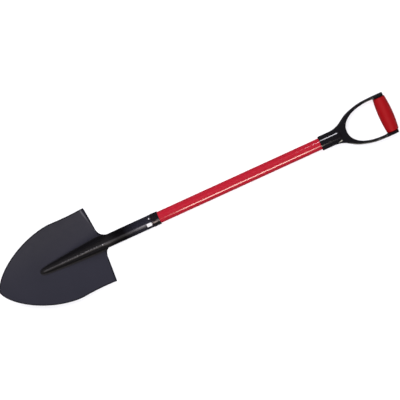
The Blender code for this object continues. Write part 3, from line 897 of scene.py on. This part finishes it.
def settle(vertices, distance, cell):
    """Move each vertex onto the surface along the distance's gradient."""
    step = cell * 0.1
    for _ in range(3):
        x, y, z = vertices.T
        value = distance(x, y, z)
        slope = np.stack([distance(x + step, y, z) - distance(x - step, y, z),
                          distance(x, y + step, z) - distance(x, y - step, z),
                          distance(x, y, z + step) - distance(x, y, z - step)], axis=1) / (2 * step)
        size = np.maximum((slope ** 2).sum(axis=1), 0.25)
        move = -value[:, None] * slope / size[:, None]
        length = np.linalg.norm(move, axis=1, keepdims=True)
        vertices = vertices + move * np.minimum(1.0, 0.4 * cell / np.maximum(length, 1e-12))
    return vertices


def make_grip_frame(material):
    reach = GRIP_SOCKET_RADIUS + NET_CELL / 2
    low = (0.0, -GRIP_HALF_WIDTH, -reach)
    high = (GRIP_LENGTH, GRIP_HALF_WIDTH, reach)
    points, faces = surface_net(grip_frame_distance, low, high, NET_CELL)
    mouth = Vector((FRAME_LOW.x, 0.0, AXIS_Z))
    vertices = [mouth + Vector(p) for p in points]
    grip = new_piece("d_grip", vertices, faces, material, "grip_frame")
    smooth(grip, angle=50)
    return grip


def make_hand_grip(material):
    """Barrel-shaped sleeve round the crossbar."""
    half = (HAND_HIGH.y - HAND_LOW.y) / 2
    middle_radius = (HAND_HIGH.z - HAND_LOW.z) / 2
    bore = CROSSBAR_RADIUS + GAP
    barrel = []
    for i in range(HAND_RINGS + 1):
        t = 1 - 2 * i / HAND_RINGS
        radius = middle_radius - (middle_radius - HAND_END_RADIUS) * t ** 2
        barrel.append((radius, (half - HAND_EDGE) * t))
    edge_centre = HAND_END_RADIUS - HAND_EDGE
    profile = [(bore, half)]
    profile += corner((edge_centre, half - HAND_EDGE), HAND_EDGE, 90, 15)
    profile += barrel
    profile += corner((edge_centre, -half + HAND_EDGE), HAND_EDGE, -15, -90)
    profile += [(bore, -half)]
    centre = Vector((CROSSBAR_X, 0.0, AXIS_Z))
    placing = Matrix.Translation(centre) @ Matrix.Rotation(math.pi / 2, 4, "X")
    return turned_piece("hand_grip_sleeve", profile, placing, material, "hand_grip")


def screw_profile(point, bottom):
    """Outline of the screw from its point up at the axis down to its pan head."""
    shank, head = SCREW_SHANK_RADIUS, SCREW_HEAD_RADIUS
    thread_top = point - SCREW_POINT_LENGTH
    plain_length, head_edge = 0.001, 0.0002
    pitch = (thread_top - SCREW_HEAD_Z - plain_length) / SCREW_TURNS
    profile = [(0.0, point), (shank * 0.3, point - SCREW_POINT_LENGTH * 0.2), (shank, thread_top)]
    for i in range(SCREW_TURNS):
        z = thread_top - pitch * i
        profile += [(shank, z - pitch * 0.1), (shank - SCREW_THREAD_DEPTH, z - pitch * 0.5)]
    profile += [(shank, SCREW_HEAD_Z), (head - head_edge, SCREW_HEAD_Z),
                (head, SCREW_HEAD_Z - head_edge)]
    profile += corner((head - SCREW_HEAD_ROUNDING, bottom + SCREW_HEAD_ROUNDING),
                      SCREW_HEAD_ROUNDING, 0, -80)
    profile += [(head * 0.5, bottom), (0.0, bottom)]
    return profile


def make_screw(material):
    """Pan head screw with a cross recess, seen from the back of the D-grip."""
    centre = Vector((SCREW_X, 0.0, AXIS_Z))
    point, bottom = SCREW_HIGH.z - AXIS_Z, SCREW_LOW.z - AXIS_Z
    screw = turned_piece("grip_screw_head", screw_profile(point, bottom),
                         Matrix.Translation(centre), material, "grip_screw",
                         steps=48, closed=False)
    for turn in (0.0, math.pi / 2):
        bpy.ops.mesh.primitive_cube_add(size=1, location=centre + Vector((0, 0, bottom)),
                                        rotation=(0, 0, turn))
        slot = bpy.context.object
        slot.scale = SCREW_SLOT
        cut_out(screw, slot)
        apply_modifiers(screw)
        bpy.data.objects.remove(slot, do_unlink=True)
    smooth(screw)
    return screw


# Materials

# Paint of the blade, from the frog's surroundings to the neck and the socket, with painted shade on
# the frog and painted highlights on the fold, along the crest and at one spot
CHARCOAL = ((0.0194, 0.0198, 0.0290), (0.0222, 0.0224, 0.0325))
# painted highlight on the fold of the turned step
FOLD_HIGHLIGHT_COLOUR = (0.095, 0.093, 0.105)
# painted shade on the frog's crest and flanks
FROG_SHADE_COLOUR = (0.0085, 0.0078, 0.0082)
NECK_COLOUR = (0.0018, 0.0012, 0.0019)
SOCKET_COLOUR = (0.0125, 0.0118, 0.0205)
RIM_COLOUR = (0.003, 0.003, 0.0035)
# worn specks on the crest, also a painted highlight
WORN_GLINT_COLOUR = (0.30, 0.29, 0.29)
# colour of the painted highlight spot on the crest
SPARKLE_COLOUR = (0.50, 0.49, 0.49)
# Distances from the tip between which the paint changes
NECK_TONE_START = (0.318, 0.352)
NECK_TONE_END = (0.408, 0.372)
SOCKET_TONE = (0.372, 0.415)
SOCKET_GLOSS = (0.400, 0.425)


class Nodes:
    """Small helper that adds and links the nodes of one material."""

    def __init__(self, name):
        self.material = bpy.data.materials.new(name)
        self.material.use_nodes = True
        self.tree = self.material.node_tree
        self.shader = self.tree.nodes["Principled BSDF"]
        self.place = self.add("ShaderNodeTexCoord").outputs["Object"]

    def add(self, kind, inputs=None, **settings):
        node = self.tree.nodes.new(kind)
        for key, value in settings.items():
            setattr(node, key, value)
        for name, value in (inputs or {}).items():
            self.fill(node.inputs[name], value)
        return node

    def fill(self, socket, value):
        """Give a socket a number, a colour or another node's output."""
        if isinstance(value, (int, float)):
            socket.default_value = value
        elif isinstance(value, tuple):
            socket.default_value = (*value, 1.0)
        else:
            self.tree.links.new(value, socket)

    def mapped(self, scale):
        mapping = self.add("ShaderNodeMapping", {"Vector": self.place})
        mapping.inputs["Scale"].default_value = scale
        return mapping.outputs["Vector"]

    def noise(self, scale, detail=4.0, roughness=0.5, stretch=(1.0, 1.0, 1.0)):
        inputs = {"Scale": scale, "Detail": detail, "Roughness": roughness,
                  "Vector": self.mapped(stretch)}
        return self.add("ShaderNodeTexNoise", inputs).outputs["Fac"]

    def ramp(self, value, low, high, to_low=0.0, to_high=1.0):
        inputs = {"Value": value, "From Min": low, "From Max": high, "To Min": to_low,
                  "To Max": to_high}
        return self.add("ShaderNodeMapRange", inputs).outputs["Result"]

    def blend(self, share, at_zero, at_one):
        """Number that goes from one value to the other as share goes from 0 to 1."""
        return self.ramp(share, 0.0, 1.0, at_zero, at_one)

    def mix(self, factor, first, second):
        node = self.add("ShaderNodeMix", data_type="RGBA")
        for value, name in ((factor, "Factor"), (first, "A"), (second, "B")):
            sockets = [s for s in node.inputs if s.name == name and s.enabled]
            self.fill(sockets[0], value)
        return [s for s in node.outputs if s.enabled][0]

    def spot(self, place, radius):
        """1 at a place seen from above, falling to 0 at radius from it."""
        node = self.add("ShaderNodeVectorMath", operation="DISTANCE")
        self.fill(node.inputs[0], self.mapped((1.0, 1.0, 0.0)))
        node.inputs[1].default_value = (place.x, place.y, 0.0)
        return self.ramp(node.outputs["Value"], radius * 0.6, radius, 1.0, 0.0)

    def attribute(self, name):
        return self.add("ShaderNodeAttribute", attribute_name=name).outputs["Fac"]

    def along_shovel(self):
        """Distance from the blade's tip."""
        split = self.add("ShaderNodeSeparateXYZ", {"Vector": self.place})
        return self.math("SUBTRACT", split.outputs["X"], TIP_X)

    def math(self, operation, first, second):
        node = self.add("ShaderNodeMath", operation=operation)
        for value, socket in zip((first, second), node.inputs):
            self.fill(socket, value)
        return node.outputs["Value"]

    def both(self, first, second):
        return self.math("MULTIPLY", first, second)

    def sum(self, first, second):
        return self.math("ADD", first, second)

    def bump(self, height, distance, strength=1.0, under=None):
        inputs = {"Distance": distance, "Strength": strength, "Height": height}
        if under:
            inputs["Normal"] = under
        return self.add("ShaderNodeBump", inputs).outputs["Normal"]

    def set(self, **inputs):
        for key, value in inputs.items():
            self.fill(self.shader.inputs[key.replace("_", " ")], value)
        return self.material


def steel_colour(n, neck, socket, rim):
    cloud = n.ramp(n.noise(7.0, detail=3.0), 0.35, 0.65)
    # worn specks on the crest that also paint in its highlight
    wear_glints = n.both(n.attribute("crest"), n.ramp(n.noise(420.0, detail=3.0), 0.55, 0.62))
    # painted highlight spot on the crest
    sparkle = n.spot(world(*CREST_SPARKLE), CREST_SPARKLE_RADIUS)
    colour = n.mix(cloud, *CHARCOAL)
    # the fold's tone is a painted highlight
    # the frog's tone is painted shade
    for share, tone in ((n.attribute("fold"), FOLD_HIGHLIGHT_COLOUR), (n.attribute("frog"), FROG_SHADE_COLOUR),
                        (neck, NECK_COLOUR), (socket, SOCKET_COLOUR), (rim, RIM_COLOUR),
                        (n.both(wear_glints, 0.8), WORN_GLINT_COLOUR), (sparkle, SPARKLE_COLOUR)):
        colour = n.mix(share, colour, tone)
    return colour


def steel_material():
    """Satin charcoal paint: painted shade darkens the frog, and it is nearly black round the neck.
    """
    n = Nodes("charcoal_paint")
    along = n.along_shovel()
    crown = n.attribute("crown")
    neck = n.both(n.ramp(along, *NECK_TONE_START), n.ramp(along, *NECK_TONE_END))
    socket = n.ramp(along, *SOCKET_TONE)
    rim = n.ramp(n.attribute("rim"), 0.1, 0.9)
    uneven = n.ramp(n.noise(60.0, detail=5.0, roughness=0.6), 0.3, 0.7, -0.03, 0.03)
    roughness = n.sum(uneven, n.blend(crown, 0.48, 0.31))
    roughness = n.sum(roughness, n.blend(socket, 0.0, -0.09))
    level = n.both(n.blend(crown, 0.36, 0.93), n.blend(neck, 1.0, 0.45))
    level = n.both(level, n.ramp(along, *SOCKET_GLOSS, 0.7, 1.3))
    level = n.both(level, n.blend(rim, 1.0, 0.2))
    waves = n.bump(n.noise(24.0, detail=2.0), 0.0004, 0.3)
    normal = n.bump(n.noise(900.0, detail=2.0), 0.00004, 0.4, under=waves)
    return n.set(Base_Color=steel_colour(n, neck, socket, rim), Roughness=roughness,
                 Normal=normal, Specular_IOR_Level=level, Specular_Tint=(0.95, 0.92, 1.0))


def collar_material():
    n = Nodes("black_collar")
    colour = n.mix(n.noise(180.0), (0.0055, 0.0046, 0.0062), (0.0085, 0.0074, 0.0095))
    normal = n.bump(n.noise(1400.0, detail=2.0), 0.00001, 0.5)
    return n.set(Base_Color=colour, Roughness=0.20, Normal=normal, Specular_IOR_Level=0.7,
                 Specular_Tint=(1.0, 0.86, 0.90))


def shaft_material():
    n = Nodes("red_fibreglass")
    fibres = n.noise(260.0, detail=6.0, roughness=0.65, stretch=(0.025, 1.0, 1.0))
    colour = n.mix(n.ramp(fibres, 0.3, 0.7), (0.47, 0.009, 0.026), (0.55, 0.014, 0.033))
    normal = n.bump(fibres, 0.000007, 0.3)
    return n.set(Base_Color=colour, Roughness=0.11, Normal=normal, Specular_IOR_Level=0.95)


def core_material():
    n = Nodes("core_wood")
    rings = n.noise(120.0, roughness=0.6, stretch=(0.06, 1.0, 1.0))
    colour = n.mix(n.ramp(rings, 0.3, 0.7), (0.33, 0.20, 0.10), (0.52, 0.36, 0.20))
    return n.set(Base_Color=colour, Roughness=0.7, Normal=n.bump(rings, 0.0003, 0.5))


def screw_material():
    n = Nodes("screw_steel")
    worn = n.noise(900.0)
    colour = n.mix(n.ramp(worn, 0.35, 0.65), (0.440, 0.440, 0.456), (0.55, 0.55, 0.57))
    return n.set(Base_Color=colour, Metallic=1.0, Normal=n.bump(worn, 0.00005, 0.4),
                 Roughness=n.ramp(worn, 0.3, 0.7, 0.26, 0.42))


def rivet_material():
    """Painted head with a bright bare middle, which also stands in as a painted highlight on the
    head.
    """
    n = Nodes("rivet_steel")
    bare_and_glint = n.attribute("bare_and_glint")
    worn = n.noise(900.0)
    metal = n.mix(n.ramp(worn, 0.35, 0.65), (0.76, 0.74, 0.76), (0.90, 0.88, 0.90))
    colour = n.mix(bare_and_glint, (0.005, 0.0045, 0.006), metal)
    return n.set(Base_Color=colour, Metallic=n.both(bare_and_glint, 0.35), Normal=n.bump(worn, 0.00002, 0.3),
                 Roughness=n.blend(bare_and_glint, 0.35, 0.42))


def label_material():
    n = Nodes("label_film")
    colour = n.mix(n.noise(300.0), (0.90, 0.90, 0.91), (0.97, 0.97, 0.97))
    return n.set(Base_Color=colour, Roughness=0.35, Normal=n.bump(n.noise(700.0), 0.00004, 0.4))


def grip_material():
    n = Nodes("black_grip_plastic")
    colour = n.mix(n.noise(150.0), (0.0050, 0.0042, 0.0060), (0.0080, 0.0070, 0.0092))
    normal = n.bump(n.noise(1100.0, detail=3.0), 0.000008, 0.3)
    return n.set(Base_Color=colour, Roughness=0.09, Normal=normal, Specular_IOR_Level=0.7)


def hand_material():
    n = Nodes("red_hand_grip")
    colour = n.mix(n.noise(90.0), (0.345, 0.0025, 0.0050), (0.395, 0.0045, 0.0085))
    normal = n.bump(n.noise(1600.0, detail=3.0, roughness=0.6), 0.00010, 0.5)
    return n.set(Base_Color=colour, Roughness=0.50, Normal=normal, Specular_IOR_Level=0.22)


# Stage

CAMERA_DISTANCE = 5.0
CAMERA_LENS = 163.94
CAMERA_SENSOR = 36.0
CAMERA_CLIP_END = 50.0
CAMERA_TARGET = (0.0097, -0.0032)
CAMERA_PITCH = math.radians(2.25)     # tilt towards the grip end
CAMERA_ROLL = math.radians(-6.5)      # tilt towards the far side of the shaft
CAMERA_SPIN = math.radians(-24.56)

WORLD_STRENGTH = 0.07
OVERHEAD_PLACE = (0.0, 0.7, 2.4)
OVERHEAD_POWER = 80
OVERHEAD_SIZE = (3.2, 3.2)
WARM_LIGHT = (1.0, 0.94, 0.82)
COOL_LIGHT = (0.97, 0.95, 1.03)
BLADE_LIGHT = (1.0, 0.97, 0.97)
FLOOR_FILL = 1.9
FLOOR_SIZE = 60.0
FLOOR_Z = -0.0002          # just under the shovel's lowest point
SOFTBOX_DISTANCE = 2.2
# Each softbox: angle, X from and to, width, radiance
NEAR_SOFTBOX = (-38, -0.17, 0.425, 0.8, 8.0)
FAR_SOFTBOX = (48, 0.445, 0.58, 0.46, 15.0)
BLADE_SOFTBOX = (-17, -0.62, -0.15, 0.9, 3.0)


def make_camera():
    turn = (Matrix.Rotation(CAMERA_ROLL, 4, "X") @ Matrix.Rotation(CAMERA_PITCH, 4, "Y")
            @ Matrix.Rotation(CAMERA_SPIN, 4, "Z"))
    data = bpy.data.cameras.new("camera")
    data.lens = CAMERA_LENS
    data.sensor_width = CAMERA_SENSOR
    data.clip_end = CAMERA_CLIP_END
    camera = add_object("camera", data)
    back = turn @ Vector((0, 0, 1))
    target = Vector((*CAMERA_TARGET, AXIS_Z))
    camera.matrix_world = Matrix.Translation(target + back * CAMERA_DISTANCE) @ turn
    bpy.context.scene.camera = camera
    return camera


def make_light(name, place, aim, size, power, colour):
    """Rectangular light whose first side runs along X."""
    data = bpy.data.lights.new(name, "AREA")
    data.shape = "RECTANGLE"
    data.size, data.size_y = size
    data.energy = power
    data.color = colour
    light = add_object(name, data)
    back = (Vector(place) - Vector(aim)).normalized()
    across = back.cross(Vector((1, 0, 0))).normalized()
    turn = Matrix((across.cross(back), across, back)).transposed()
    light.matrix_world = Matrix.Translation(place) @ turn.to_4x4()
    return light


def make_floor():
    bpy.ops.mesh.primitive_plane_add(size=FLOOR_SIZE, location=(0, 0, FLOOR_Z))
    floor = bpy.context.object
    floor.name = "floor"
    n = Nodes("floor_paper")
    n.set(Base_Color=n.mix(n.noise(3.0), (0.93, 0.93, 0.93), (0.95, 0.95, 0.95)), Roughness=0.9)
    floor.data.materials.append(n.material)
    floor.visible_glossy = False
    return floor


def make_softbox(name, colour, angle, start, end, width, radiance):
    """Soft light along the shaft, leaning from overhead by angle towards +Y or, below 0, -Y."""
    lean = math.radians(angle)
    middle = (start + end) / 2
    place = (middle, SOFTBOX_DISTANCE * math.sin(lean),
             AXIS_Z + SOFTBOX_DISTANCE * math.cos(lean))
    size = (end - start, width)
    power = radiance * math.pi * size[0] * size[1]
    return make_light(name, place, (middle, 0, AXIS_Z), size, power, colour)


def link_light(light, state, *objects):
    """Let a light fall on these objects only (INCLUDE), or on everything but them (EXCLUDE)."""
    receivers = bpy.data.collections.new(light.name + "_receivers")
    for obj in objects:
        receivers.objects.link(obj)
    for member in receivers.collection_objects:
        member.light_linking.link_state = state
    light.light_linking.receiver_collection = receivers


def make_world():
    studio = bpy.data.worlds.new("studio")
    studio.use_nodes = True
    background = studio.node_tree.nodes["Background"]
    background.inputs["Color"].default_value = (1.0, 1.0, 1.0, 1.0)
    background.inputs["Strength"].default_value = WORLD_STRENGTH
    bpy.context.scene.world = studio
    bpy.context.scene.view_settings.view_transform = "Standard"


def make_floor_fill(floor):
    """Shadowless light on the floor alone, which keeps it white."""
    data = bpy.data.lights.new("floor_fill", "SUN")
    data.energy = FLOOR_FILL
    data.use_shadow = False
    link_light(add_object("floor_fill", data), "INCLUDE", floor)


def make_stage(blade, collar):
    floor = make_floor()
    make_world()
    near = make_softbox("near_softbox", WARM_LIGHT, *NEAR_SOFTBOX)
    far = make_softbox("far_softbox", COOL_LIGHT, *FAR_SOFTBOX)
    low = make_softbox("blade_softbox", BLADE_LIGHT, *BLADE_SOFTBOX)
    link_light(near, "EXCLUDE", floor)
    link_light(far, "EXCLUDE", floor)
    link_light(low, "INCLUDE", blade, collar)
    overhead = make_light("overhead", OVERHEAD_PLACE, (0.0, 0.0, 0.0), OVERHEAD_SIZE,
                          OVERHEAD_POWER, COOL_LIGHT)
    overhead.visible_glossy = False
    make_floor_fill(floor)


def main():
    make_camera()
    blade = make_blade(steel_material())
    make_shaft(shaft_material())
    collar = make_collar(collar_material())
    rivet_steel = rivet_material()
    make_rivet(rivet_steel)
    make_burr(rivet_steel)
    make_label(label_material())
    make_grip_frame(grip_material())
    make_hand_grip(hand_material())
    make_screw(screw_material())
    core = core_material()
    for node in ("lower_core", "upper_core"):
        frame["nodes"][node].data.materials.clear()
        frame["nodes"][node].data.materials.append(core)
    make_stage(blade, collar)


main()
